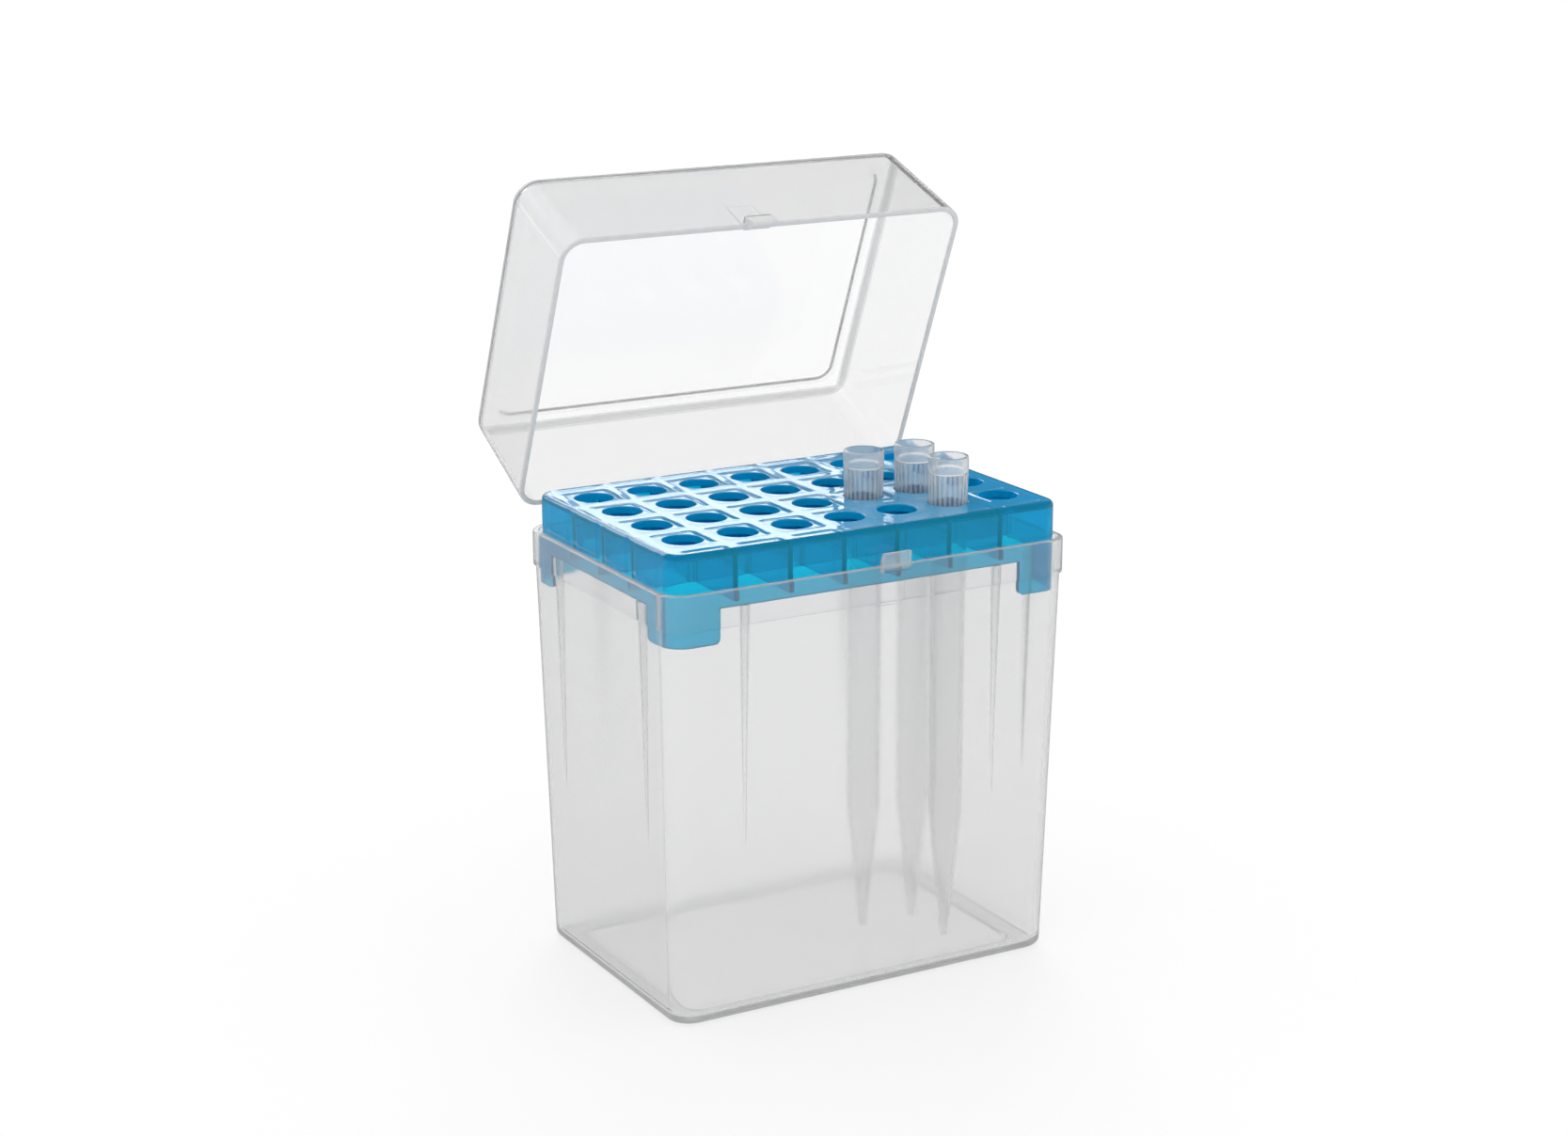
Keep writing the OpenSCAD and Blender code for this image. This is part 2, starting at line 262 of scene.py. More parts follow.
    def inset_to(self, old: Sequence[float], new: Sequence[float], start: float) -> None:
        """Insets a face of old half sizes to new ones, after a true inset that tightens its corners."""
        self.inset(start)
        self.grow((new[0] / (old[0] - start), new[1] / (old[1] - start), 1))

    def push(self, rise: float, old: Sequence[float] = (1, 1), new: Sequence[float] = (1, 1)) -> None:
        """Extrudes the selected face along Z and brings it from its old half sizes to new ones."""
        bpy.ops.mesh.extrude_region_move(TRANSFORM_OT_translate={"value": (0, 0, rise)})
        self.grow((new[0] / old[0], new[1] / old[1], 1))

    def wrap(self, other: "Model", flat: float = 0.01) -> None:
        """Shrinks a skin round this model and another one.

        Args:
            other: The other model, which is used up.
            flat: The angle in radians under which two faces of the skin become one.
        """
        self.join([other])
        self.select_all()
        bpy.ops.mesh.convex_hull()
        self.select_all()
        bpy.ops.mesh.dissolve_limited(angle_limit=flat)
        self.done()

    def round_edges(self, radius: float, steps: int, test: Callable[..., bool]) -> None:
        """Rounds the edges that a test picks.

        Args:
            radius: The radius of the rounding.
            steps: How many facets it has.
            test: Takes an edge and says whether it is rounded.
        """
        if self.select(Element.EDGE, test):
            bpy.ops.mesh.bevel(
                offset=radius, offset_type="OFFSET", segments=steps, affect="EDGES", clamp_overlap=True
            )

    def modify(self, kind: str, **settings: object) -> "Model":
        """Adds a modifier and applies it.

        Args:
            kind: The modifier's type.
            **settings: Its settings.

        Returns:
            This model.
        """
        self.done()
        bpy.context.view_layer.objects.active = self.obj
        modifier = self.obj.modifiers.new(kind.title(), kind)
        for key, value in settings.items():
            setattr(modifier, key, value)
        bpy.ops.object.modifier_apply(modifier=modifier.name)
        return self

    def drop(self) -> None:
        """Deletes the model."""
        bpy.data.objects.remove(self.obj, do_unlink=True)

    def combine(self, other: "Model", operation: str) -> "Model":
        """Unites this model with another, or cuts the other out of it.

        Args:
            other: The other model, which is used up.
            operation: UNION or DIFFERENCE.

        Returns:
            This model.
        """
        self.modify("BOOLEAN", operation=operation, solver="EXACT", object=other.obj)
        other.drop()
        return self

    def add(self, other: "Model") -> "Model":
        """Unites this model with another."""
        return self.combine(other, "UNION")

    def cut(self, other: "Model") -> "Model":
        """Cuts another model out of this one."""
        return self.combine(other, "DIFFERENCE")

    def copy(self, name: str, move: Sequence[float] = (0, 0, 0), turn: float = 0.0) -> "Model":
        """Copies the model, mesh and all, turned about Z and then moved.

        Args:
            name: The copy's name.
            move: How far it is moved.
            turn: The angle that it is turned by, in degrees.

        Returns:
            The copy.
        """
        self.pick()
        bpy.ops.object.duplicate()
        twin = Model(name)
        twin.obj.rotation_euler = (0, 0, math.radians(turn))
        twin.obj.location = move
        settle()
        return twin

    def flip(self) -> "Model":
        """Mirrors the model in the YZ plane, with its faces outwards."""
        self.pick()
        self.obj.scale = (-1, 1, 1)
        settle()
        self.face_outwards()
        return self.done()

    def join(self, others: Sequence["Model"]) -> "Model":
        """Takes other models into this one without uniting their surfaces."""
        self.pick()
        for other in others:
            other.obj.select_set(True)
        bpy.ops.object.join()
        return self

    def tilt(self, angle: float, pivot: Sequence[float]) -> None:
        """Turns the model about a line along X.

        Args:
            angle: The angle in degrees, by the right-hand rule.
            pivot: A point on the line.
        """
        self.pick()
        back = Vector(pivot)
        self.obj.location = -back
        settle()
        self.obj.rotation_euler = (math.radians(angle), 0, 0)
        self.obj.location = back
        settle()

    def weld(self, gap: float = 0.003) -> None:
        """Merges corners that nearly meet and takes out what has no length or area.

        Args:
            gap: How close they lie, in millimetres.
        """
        self.select_all()
        bpy.ops.mesh.remove_doubles(threshold=gap)
        self.select_all()
        bpy.ops.mesh.dissolve_degenerate(threshold=gap / 3)

    def finish(self, material: bpy.types.Material, smooth: float = 32.0) -> bpy.types.Object:
        """Brings the model to metres, smooths its curves and dresses it.

        Args:
            material: The finish of the whole piece.
            smooth: The angle in degrees under which an edge is smooth.

        Returns:
            The finished object.
        """
        self.weld()
        self.pick()
        self.obj.scale = (MM, MM, MM)
        settle()
        bpy.ops.object.shade_smooth_by_angle(angle=math.radians(smooth))
        self.modify("WEIGHTED_NORMAL", mode="FACE_AREA", keep_sharp=True)
        self.obj.data.materials.clear()
        self.obj.data.materials.append(material)
        return self.obj


def level(z: float, item: bmesh.types.BMVert | bmesh.types.BMEdge, slack: float = CLOSE) -> bool:
    """True if a corner, or both ends of an edge, lie at a height."""
    verts = getattr(item, "verts", [item])
    return all(abs(vert.co.z - z) < slack for vert in verts)


def on_rings(edge: bmesh.types.BMEdge, *rings: tuple[float, Sequence[float]]) -> bool:
    """True if an edge lies on one of several rounded rectangles, each given by its height and half sizes."""
    for z, half in rings:
        reach = [max(abs(vert.co.x) / half[0], abs(vert.co.y) / half[1]) for vert in edge.verts]
        if level(z, edge) and all(RING[0] < share < RING[1] for share in reach) and creased(edge, SHARP / 4):
            return True
    return False


def flat_in_x(edge: bmesh.types.BMEdge) -> bool:
    """True if an edge lies in a plane across X."""
    return abs(edge.verts[0].co.x - edge.verts[1].co.x) < CLOSE


def creased(edge: bmesh.types.BMEdge, least: float = SHARP / 2) -> bool:
    """True if the faces at an edge meet at more than an angle in radians."""
    return edge.is_manifold and edge.calc_face_angle() > least


def upright(edge: bmesh.types.BMEdge) -> bool:
    """True if an edge stands up, or nearly."""
    ends = edge.verts[1].co - edge.verts[0].co
    return abs(ends.z) > 0.9 * ends.length


# ---- finishes ----


class Value:
    """A number or vector that runs through a material's nodes."""

    def __init__(self, nodes: "Nodes", socket: bpy.types.NodeSocket) -> None:
        """Wraps an output socket."""
        self.nodes = nodes
        self.socket = socket

    def math(self, operation: str, *others: "Value | float", first: "Value | float | None" = None) -> "Value":
        """Adds a Math node on this value and others, of which one may come first."""
        ordered = ([self] if first is None else [first, self]) + list(others)
        return self.nodes.add("ShaderNodeMath", {"operation": operation}, dict(enumerate(ordered)))

    def __add__(self, other: "Value | float") -> "Value":
        """Adds."""
        return self.math("ADD", other)

    __radd__ = __add__

    def __mul__(self, other: "Value | float") -> "Value":
        """Multiplies."""
        return self.math("MULTIPLY", other)

    __rmul__ = __mul__

    def __sub__(self, other: "Value | float") -> "Value":
        """Subtracts."""
        return self.math("SUBTRACT", other)

    def __rsub__(self, other: "Value | float") -> "Value":
        """Subtracts this value from a number."""
        return self.math("SUBTRACT", first=other)

    def __truediv__(self, other: "Value | float") -> "Value":
        """Divides."""
        return self.math("DIVIDE", other)

    def __neg__(self) -> "Value":
        """Changes the sign."""
        return self.math("MULTIPLY", -1.0)

    def cosine(self) -> "Value":
        """The cosine of an angle in radians."""
        return self.math("COSINE")

    def size(self) -> "Value":
        """The number without its sign."""
        return self.math("ABSOLUTE")

    def ramp(self, low: float, high: float) -> "Value":
        """A smooth rise from 0 at low to 1 at high."""
        sockets = {"Value": self, "From Min": low, "From Max": high}
        return self.nodes.add("ShaderNodeMapRange", {"interpolation_type": "SMOOTHSTEP"}, sockets)


class Nodes:
    """The node tree of one material, or of the world."""

    def __init__(self, owner: bpy.types.Material | bpy.types.World) -> None:
        """Empties the tree of a material or world."""
        owner.use_nodes = True
        self.tree = owner.node_tree
        self.tree.nodes.clear()

    def add(
        self,
        kind: str,
        settings: dict[str, object] | None = None,
        sockets: dict[str | int, object] | None = None,
        output: str | int = 0,
    ) -> Value:
        """Adds any node.

        Args:
            kind: The node's type.
            settings: Its settings, which are set first.
            sockets: The value or link of each input, by name or place.
            output: The output that is wanted.

        Returns:
            That output.
        """
        node = self.tree.nodes.new(kind)
        for key, value in (settings or {}).items():
            setattr(node, key, value)
        for key, value in (sockets or {}).items():
            if isinstance(value, Value):
                self.tree.links.new(value.socket, node.inputs[key])
            else:
                node.inputs[key].default_value = value
        return Value(self, node.outputs[output])

    def place(self) -> tuple[Value, Value, Value]:
        """The place on the object, in millimetres, as three numbers."""
        here = self.add("ShaderNodeTexCoord", output="Object")
        parts = [self.add("ShaderNodeSeparateXYZ", sockets={0: here}, output=axis) for axis in range(3)]
        return parts[0] / MM, parts[1] / MM, parts[2] / MM

    def noise(self, scale: float, detail: float, stretch: Sequence[float] = (1, 1, 1)) -> Value:
        """Soft noise from 0 to 1 in object space.

        Args:
            scale: How many waves there are to a metre.
            detail: How much fine detail it has.
            stretch: The factor along each axis.

        Returns:
            The noise.
        """
        here = self.add("ShaderNodeTexCoord", output="Object")
        there = self.add("ShaderNodeMapping", sockets={"Vector": here, "Scale": stretch})
        sockets = {"Vector": there, "Scale": scale, "Detail": detail}
        return self.add("ShaderNodeTexNoise", sockets=sockets, output="Fac")

    def bump(self, height: Value, depth: float) -> Value:
        """A normal bent by a height from 0 to 1, at a depth in millimetres."""
        return self.add("ShaderNodeBump", sockets={"Height": height, "Strength": 1.0, "Distance": depth * MM})

    def path(self, output: str) -> Value:
        """One output of the Light Path node."""
        return self.add("ShaderNodeLightPath", output=output)

    def rays(self) -> tuple[Value, Value, Value]:
        """Whether a ray comes from the camera, from a mirror image and through clear plastic."""
        return self.path("Is Camera Ray"), self.path("Is Glossy Ray"), self.path("Is Transmission Ray")

    def plastic(
        self, colour: Sequence[float], roughness: Value | float, ior: float, clear: float, normal: Value
    ) -> Value:
        """Adds a plastic surface, through which the clear share of the light goes."""
        return self.add(
            "ShaderNodeBsdfPrincipled",
            sockets={
                "Base Color": colour,
                "Roughness": roughness,
                "IOR": ior,
                "Transmission Weight": clear,
                "Normal": normal,
            },
        )

    def mix(self, share: Value | float, first: Value, second: Value) -> Value:
        """Mixes two shaders, with the second one's share."""
        return self.add("ShaderNodeMixShader", sockets={0: share, 1: first, 2: second})

    def glow(self, kind: str, strength: Value | float) -> Value:
        """Adds white light of a kind, Emission or Background."""
        return self.add(f"ShaderNode{kind}", sockets={"Color": WHITE, "Strength": strength})

    def show(self, shader: Value, volume: Value | None = None, place: str = "Material") -> None:
        """Leads a shader, and a volume where there is one, to the output of the material or world."""
        out = self.tree.nodes.new(f"ShaderNodeOutput{place}")
        self.tree.links.new(shader.socket, out.inputs["Surface"])
        if volume:
            self.tree.links.new(volume.socket, out.inputs["Volume"])


@dataclass(frozen=True)
class MattEdge:
    """The matt rim of a moulding, which lies beyond a plane that runs along X.

    Attributes:
        share_y: How fast the way to the plane grows along Y.
        share_z: How fast it grows along Z.
        level: The sum of both at the plane, in millimetres.
        share: How matt the rim is, from 0 to 1.
        fade: Where the matt part ends and the plain part starts, in millimetres inside the plane.
    """

    share_y: float
    share_z: float
    level: float
    share: float
    fade: tuple[float, float] = (0.1, 0.35)

    def mask(self, nodes: Nodes) -> Value:
        """How matt the plastic is at each place."""
        _, y, z = nodes.place()
        inside = y * self.share_y + z * self.share_z - self.level
        return (1.0 - inside.ramp(*self.fade)) * self.share


@dataclass(frozen=True)
class MattRimWithPaintedShade:
    """The matt rim of the open lid, with painted grey shade along the round edges of its top and fainter
    painted shade on its walls.

    Attributes:
        rim: Where its rim lies.
        hinge: Where it turns, in Y and Z, in millimetres.
        turned: How far it is open, in degrees.
        half: Half the size of its top in X and Y.
        top: The height of its top when shut.
        share: How much more painted grey shade the band along the round edges has than the walls, from 0 to
            1.
        walls: How much painted grey shade darkens the walls, from 0 to 1.
        width: Where the painted shade ends and the plain field starts, in millimetres from the walls.
        drop: Where the band's painted shade fades to the walls' fainter shade, in millimetres below the top.
    """

    rim: MattEdge
    hinge: tuple[float, float]
    turned: float
    half: tuple[float, float]
    top: float
    share: float
    walls: float
    width: tuple[float, float] = (2.2, 2.9)
    drop: tuple[float, float] = (3.0, 2.3)

    def mask(self, nodes: Nodes) -> Value:
        """How matt the plastic is at each place, with painted grey shade on the round edges and the walls."""
        x, y, z = nodes.place()
        sin, cos = math.sin(math.radians(self.turned)), math.cos(math.radians(self.turned))
        y, z = y - self.hinge[0], z - self.hinge[1]
        depth, height = y * cos - z * sin + self.hinge[0], y * sin + z * cos + self.hinge[1]
        field = (self.half[0] - x.size()).ramp(*self.width) * (self.half[1] - depth.size()).ramp(*self.width)
        raised = (height - self.top).ramp(-self.drop[0], -self.drop[1])
        # Outside the field the matt grey paints shade: strongest along the round edges of the top, fainter on
        # the walls.
        return self.rim.mask(nodes) + (raised * self.share + self.walls) * (1.0 - field)


@dataclass(frozen=True)
class MattRibs:
    """The matt outside of the tips, which stand upright on a grid.

    Attributes:
        centre: Where one of them stands, in millimetres.
        pitch: The spacing of the grid in millimetres.
        radius: Where the matt part starts, in millimetres from the middle.
        share: How matt it is, from 0 to 1.
        fade: Over how much of the radius it comes in.
    """

    centre: tuple[float, float]
    pitch: tuple[float, float]
    radius: float
    share: float
    fade: float = 0.15

    def mask(self, nodes: Nodes) -> Value:
        """How matt the plastic is at each place."""
        x, y, _ = nodes.place()
        x, y = (
            (value - middle).math("WRAP", pitch / 2, -pitch / 2)
            for value, middle, pitch in zip((x, y), self.centre, self.pitch)
        )
        around = (x * x + y * y).math("SQRT")
        return around.ramp(self.radius, self.radius + self.fade) * self.share


@dataclass(frozen=True)
class CloudyPlastic:
    """Natural polypropylene, which lets light through and clouds it.

    Attributes:
        name: The material's name.
        clear: The share of light that isn't scattered at a surface.
        haze: How much it blurs what lies behind it.
        ior: How much it bends light.
        murk: How fast the plastic darkens with its thickness, per metre.
        milk: How fast the plastic whitens with its thickness, per metre.
        rim: Where it is matt, and on the lid where its matt grey paints shade.
        tone: How pale it is there, from 0 to 1.
        matt_rough: How rough it is there.
        matt_ior: How much it bends light there.
        matt_clear: The share of light that goes through there.
        waviness: The depth in millimetres of the waves in its surface.
        wave_scale: How many waves there are to a metre.
        wave_stretch: The factor on the waves along each axis.
        wave_haze: How much more haze there is on a wave than between waves, as a share.
        grain_scale: How many grains there are to a metre.
        grain: How high a grain stands, as a share of a wave.
    """

    name: str
    clear: float
    haze: float
    ior: float
    murk: float
    milk: float
    rim: MattEdge | MattRimWithPaintedShade | MattRibs
    tone: float = 0.85
    matt_rough: float = 0.45
    matt_ior: float = 1.3
    matt_clear: float = 0.35
    waviness: float = 0.01
    wave_scale: float = 28.0
    wave_stretch: tuple[float, float, float] = (1.0, 1.0, 0.35)
    wave_haze: float = 0.3
    grain_scale: float = 900.0
    grain: float = 0.02

    def build(self) -> bpy.types.Material:
        """Makes the material."""
        material = bpy.data.materials.new(self.name)
        nodes = Nodes(material)
        flow = nodes.noise(self.wave_scale, 2.0, self.wave_stretch)
        waves = nodes.bump(flow + self.grain * nodes.noise(self.grain_scale, 1.0), self.waviness)
        haze = self.haze * (1.0 - self.wave_haze / 2 + self.wave_haze * flow)
        plain = nodes.plastic(WHITE, haze, self.ior, self.clear, waves)
        grey = (self.tone, self.tone, self.tone, 1.0)
        matt = nodes.plastic(grey, self.matt_rough, self.matt_ior, self.matt_clear, waves)
        # On the lid this matt grey also paints shade on the walls and the round edges of the top.
        shader = nodes.mix(self.rim.mask(nodes), plain, matt)
        black = (0.0, 0.0, 0.0, 1.0)
        murk = nodes.add("ShaderNodeVolumeAbsorption", sockets={"Color": black, "Density": self.murk})
        cloud = {"Color": WHITE, "Density": self.milk, "Anisotropy": 0.3}
        milk = nodes.add("ShaderNodeVolumeScatter", sockets=cloud)
        nodes.show(shader, nodes.add("ShaderNodeAddShader", sockets={0: murk, 1: milk}))
        return material


@dataclass(frozen=True)
class BluePlastic:
    """Glossy translucent blue polypropylene with sink marks over its webs.

    Attributes:
        name: The material's name.
        tint: Its colour where it is thin.
        body: Its colour where it is thick.
        clear: The share of light that goes through where it is thin.
        gloss: The roughness of its surface.
        depth: The share of each colour that is left after a millimetre of plastic.
        pitch: The spacing in millimetres of the holes along X and Y.
        sink: The depth in millimetres of the sink marks.
        half: Half its width and depth in millimetres.
        plate: The heights in millimetres between which it grows thick, inside the skirt.
        thick: How thick it looks above them, from 0 to 1.
        ior: How much it bends light.
        skirt: Where the skirt ends and the inside starts, in millimetres from the outside.
        stray: How far the sink marks stray from their webs, in millimetres.
        slope: Over which cosines of its place in a cell the surface sinks towards a web.
        swell: How high the surface swells at random, as a share of the sink marks.
    """

    name: str
    tint: tuple[float, float, float, float]
    body: tuple[float, float, float, float]
    clear: float
    gloss: float
    depth: tuple[float, float, float]
    pitch: tuple[float, float]
    sink: float
    half: tuple[float, float]
    plate: tuple[float, float]
    thick: float
    ior: float = 1.42
    skirt: tuple[float, float] = (1.5, 2.5)
    stray: float = 1.1
    slope: tuple[float, float] = (-1.0, -0.4)
    swell: float = 0.6

    def build(self) -> bpy.types.Material:
        """Makes the material."""
        material = bpy.data.materials.new(self.name)
        nodes = Nodes(material)
        x, y, z = nodes.place()
        drift = (nodes.noise(60.0, 2.0) - 0.5) * (2 * self.stray)
        along = ((x + drift) * (math.tau / self.pitch[0])).cosine()
        across = ((y + drift) * (math.tau / self.pitch[1])).cosine()
        cell = along.ramp(*self.slope) * (-across).ramp(*self.slope)
        waves = nodes.bump(cell + self.swell * nodes.noise(35.0, 1.0), self.sink)
        thin = nodes.plastic(self.tint, self.gloss, self.ior, self.clear, waves)
        thick = nodes.plastic(self.body, self.gloss, self.ior, 0.0, waves)
        inside = (self.half[0] - x.size()).ramp(*self.skirt) * (self.half[1] - y.size()).ramp(*self.skirt)
        shader = nodes.mix(z.ramp(*self.plate) * inside * self.thick, thin, thick)
        loss = [-math.log(share) / MM for share in self.depth]
        density = max(loss) * 1.01
        kept = (*(1.0 - value / density for value in loss), 1.0)
        dye = nodes.add("ShaderNodeVolumeAbsorption", sockets={"Color": kept, "Density": density})
        nodes.show(shader, dye)
        return material


@dataclass(frozen=True)
class WhiteFloor:
    """Plain white table top.

    Attributes:
        name: The material's name.
        share: How much of its white doesn't come from the lamps.
        mirrored: How bright it is in reflections.
        tone: How pale it is.
        roughness: How rough it is.
    """

    name: str
    share: float
    mirrored: float
    tone: float = 0.97
    roughness: float = 0.8

    def build(self) -> bpy.types.Material:
        """Makes the material."""
        material = bpy.data.materials.new(self.name)
        nodes = Nodes(material)
        camera, glossy, through = nodes.rays()
        pale = (self.tone, self.tone, self.tone, 1.0)
        sockets = {"Base Color": pale, "Roughness": self.roughness, "Specular IOR Level": 0.0}
        surface = nodes.add("ShaderNodeBsdfPrincipled", sockets=sockets)
        mirror = glossy * (1.0 - through)
        white = nodes.glow("Emission", 1.0 - mirror * (1.0 - self.mirrored))
        nodes.show(nodes.mix((camera + through).math("MINIMUM", 1.0) * self.share + mirror, surface, white))
        return material


# ---- the box ----


@dataclass
class Tab:
    """Thumb tab outside a front wall, with the pad behind it, in millimetres.

    Attributes:
        left: Where its left end lies.
        width: How wide it is.
        height: How far it reaches beyond its own rim.
        tip_out: How far it stands out at its tip.
        root: How far it reaches back along its own wall.
        out: How far it stands out at its root.
        tip_t: How thick its tip is.
        clear: The gap between it and the other wall.
        step: How far its thick part reaches beyond the rim.
        pad: How proud the pad inside the wall is.
        pad_h: How long that pad is.
        bite: How deep both are sunk into the wall.
        rounding: The radius of their free edges.
    """

    left: float
    width: float
    height: float
    tip_out: float
    root: float = 1.2
    out: float = 2.1
    tip_t: float = 1.0
    clear: float = 0.35
    step: float = 2.0
    pad: float = 0.25
    pad_h: float = 11.3
    bite: float = 0.4
    rounding: float = 0.18

    def build(self, rim: tuple[float, float], wall: float, slope: float, up: int) -> Model:
        """Models the tab and its pad.

        Args:
            rim: Y and Z of the wall's outer edge at its rim.
            wall: How thick the wall is.
            slope: How far the wall's inside moves in for each millimetre from the rim.
            up: 1 if the tab rises from the rim, and -1 if it hangs from it.

        Returns:
            The tab and the pad as one model.
        """

        def plate(name: str, outline: list[tuple[float, float]], front: bool) -> Model:
            points = [(rim[0] - out, rim[1] + up * rise) for out, rise in outline]
            made = Model.outline(name, points[::up], self.left, self.width)

            def free(edge: bmesh.types.BMEdge) -> bool:
                ends = [vert.co.y for vert in edge.verts]
                outside = max(ends) < rim[0] - 0.1 if front else min(ends) > rim[0] + wall + 0.1
                return outside and creased(edge, 0.8)

            made.round_edges(self.rounding, 3, free)
            return made

        leaf = [
            (-self.bite, -self.root),
            (self.out, -self.root),
            (self.tip_out, self.height),
            (self.tip_out - self.tip_t, self.height),
            (self.clear, self.step),
            (self.clear, 0),
            (-self.bite, 0),
        ]
        root, face, lean = self.bite - wall, -wall - self.pad, slope * self.pad_h
        pad = [(root, 0), (face, 0), (face - lean, -self.pad_h), (root - lean, -self.pad_h)]
        return plate("leaf", leaf, True).join([plate("pad", pad, False)])


@dataclass
class BaseBox:
    """The tall base, with its ribs, hinge ears and thumb tab, in millimetres."""

    rim: tuple[float, float] = RIM
    height: float = 122.5
    wall: float = 1.5
    lean: tuple[float, float] = (2.9, 2.9)
    corner: float = 7.0
    bottom_round: float = 1.9
    cove: float = 2.2
    lip_round: float = 0.45
    band_h: float = 10.0
    band_step: float = 0.5
    band_round: float = 0.3
    foot_h: float = 0.5
    foot_inset: float = 7.2
    foot_round: float = 0.4
    seat_z: float = 117.4
    rib_at: tuple[float, float] = (39.5, 25.5)
    rib_len: float = 72.0
    rib_w: tuple[float, float] = (2.2, 0.6)
    rib_reach: float = 2.1
    rib_round: float = 0.28
    ear: tuple[float, float] = (34.0, 4.0)
    ear_bite: float = 0.4
    ear_drop: float = 0.4
    ear_round: float = 0.3
    pin_r: float = 1.6
    pin_len: float = 7.3
    tab: Tab = field(default_factory=lambda: Tab(0.6, 8.6, 4.3, 2.4))

    @property
    def skin(self) -> tuple[float, float]:
        """Half sizes of the wall's outside at the rim."""
        return self.rim[0] - self.band_step, self.rim[1] - self.band_step

    def half_at(self, z: float) -> tuple[float, float]:
        """Half sizes of the wall's outside at a height."""
        share = (self.height - z) / (self.height - self.foot_h)
        return self.skin[0] - self.lean[0] * share, self.skin[1] - self.lean[1] * share

    def shell(self) -> Model:
        """The walls, the floor with its foot, and the band round the rim."""
        top, band = self.height, self.height - self.band_h
        foot, floor = self.foot_h, self.foot_h + self.wall
        rim, wall, low = self.rim, self.half_at(band), self.half_at(foot)
        step, tight = rim[1] - wall[1], 0.1
        sole = (low[0] - self.foot_inset, low[1] - self.foot_inset)
        mouth = (self.skin[0] - self.wall, self.skin[1] - self.wall)
        inner = tuple(half - self.wall for half in self.half_at(floor))
        pit = (sole[0] - self.wall, sole[1] - self.wall)
        model = Model.block("base_box_shell", (-rim[0], -rim[1], band), (*rim, top))
        model.round_edges(self.corner + self.band_step, 12, upright)
        model.take_cap(-1)
        model.inset(step)
        model.grow((wall[0] / (rim[0] - step), 1, 1))
        model.push(foot - band, wall, low)
        model.inset_to(low, sole, tight)
        model.push(-foot)
        model.take_cap(1)
        model.inset(rim[0] - mouth[0])
        model.push(floor - top, mouth, inner)
        model.inset_to(inner, pit, tight)
        model.push(-foot)
        model.round_edges(self.bottom_round, 8, lambda edge: on_rings(edge, (foot, low)))
        model.round_edges(self.cove, 8, lambda edge: on_rings(edge, (floor, inner)))
        model.round_edges(self.foot_round, 3, lambda edge: on_rings(edge, (0, sole), (foot, sole)))
        model.round_edges(self.foot_round, 3, lambda edge: on_rings(edge, (floor, pit), (self.wall, pit)))
        model.round_edges(self.lip_round, 4, lambda edge: level(top, edge) and creased(edge))
        model.round_edges(self.band_round, 3, lambda edge: on_rings(edge, (band, rim)))
        return model.done()

    def rib(self, name: str, mouth: float, lean: float) -> Model:
        """One rib on the rear wall, with its top under the rack's skirt.

        Args:
            name: The rib's name.
            mouth: Where the inside of the wall lies at the rim.
            lean: How far the wall leans in over its height.

        Returns:
            The rib.
        """
        tail_z = self.seat_z - self.rib_len
        slope = lean / (self.height - self.foot_h)
        top_in, tail_in = slope * (self.height - self.seat_z), slope * (self.height - tail_z)
        top, tail = self.rib_w[0] / 2, self.rib_w[1] / 2
        front, back = mouth - self.rib_reach, mouth + self.wall / 2 - top_in
        model = Model.block(name, (-top, front, tail_z), (top, back, self.seat_z))
        model.select(Element.VERTEX, lambda vert: level(tail_z, vert) and vert.co.y > mouth)
        model.shift((0, top_in - tail_in, 0))
        model.select(Element.VERTEX, lambda vert: level(tail_z, vert) and vert.co.y < mouth - 1)
        model.shift((0, self.rib_reach - tail_in, 0))
        model.select(Element.VERTEX, lambda vert: level(tail_z, vert))
        model.grow((tail / top, 1, 1))

        def front_corner(edge: bmesh.types.BMEdge) -> bool:
            return not level(edge.verts[0].co.z, edge) and all(vert.co.y < mouth for vert in edge.verts)

        model.round_edges(self.rib_round, 2, front_corner)
        return model.done()

    def ribs(self) -> Model:
        """All eight ribs."""
        mouth = (self.skin[0] - self.wall, self.skin[1] - self.wall)
        made = []
        for name, axis, turns in (("rib_rear", 1, (0, 180)), ("rib_end", 0, (90, -90))):
            rib = self.rib(name, mouth[axis], self.lean[axis])
            place = [0.0, 0.0, 0.0]
            for side in (-1, 1):
                place[1 - axis] = side * self.rib_at[1 - axis]
                made += [rib.copy("rib", place, turn) for turn in turns]
            rib.drop()
        return made[0].join(made[1:])

    def hinge_ear(self) -> Model:
        """The right ear behind the rear wall, with its pin."""
        y, z = HINGE
        left, thick = self.ear
        root, low, high = self.rim[1] - self.ear_bite, self.height - self.band_h, self.height - self.ear_drop
        ear = Model.rod("ear", EYE_R, (left, y, z), thick, 48)
        ear.wrap(Model.block("ear_root", (left, root, low), (left + thick, root + 0.1, high)))
        ear.round_edges(self.ear_round, 2, lambda edge: creased(edge, SHARP) and flat_in_x(edge))
        pin = Model.rod("pin", self.pin_r, (left + thick / 2, y, z), self.pin_len, 40)
        tip = left + thick / 2 + self.pin_len - CLOSE
        pin.round_edges(self.ear_round, 2, lambda edge: all(vert.co.x > tip for vert in edge.verts))
        return ear.add(pin)

    def build(self, material: bpy.types.Material) -> bpy.types.Object:
        """Models the whole base and dresses it."""
        model = self.shell()
        model.add(self.ribs())
        ear = self.hinge_ear()
        model.add(ear.copy("ear_left").flip())
        model.add(ear)
        slope = self.lean[1] / (self.height - self.foot_h)
        model.add(self.tab.build((-self.rim[1], self.height), self.band_step + self.wall, slope, up=1))
        model.rename("base_box_clear")
        return model.finish(material)


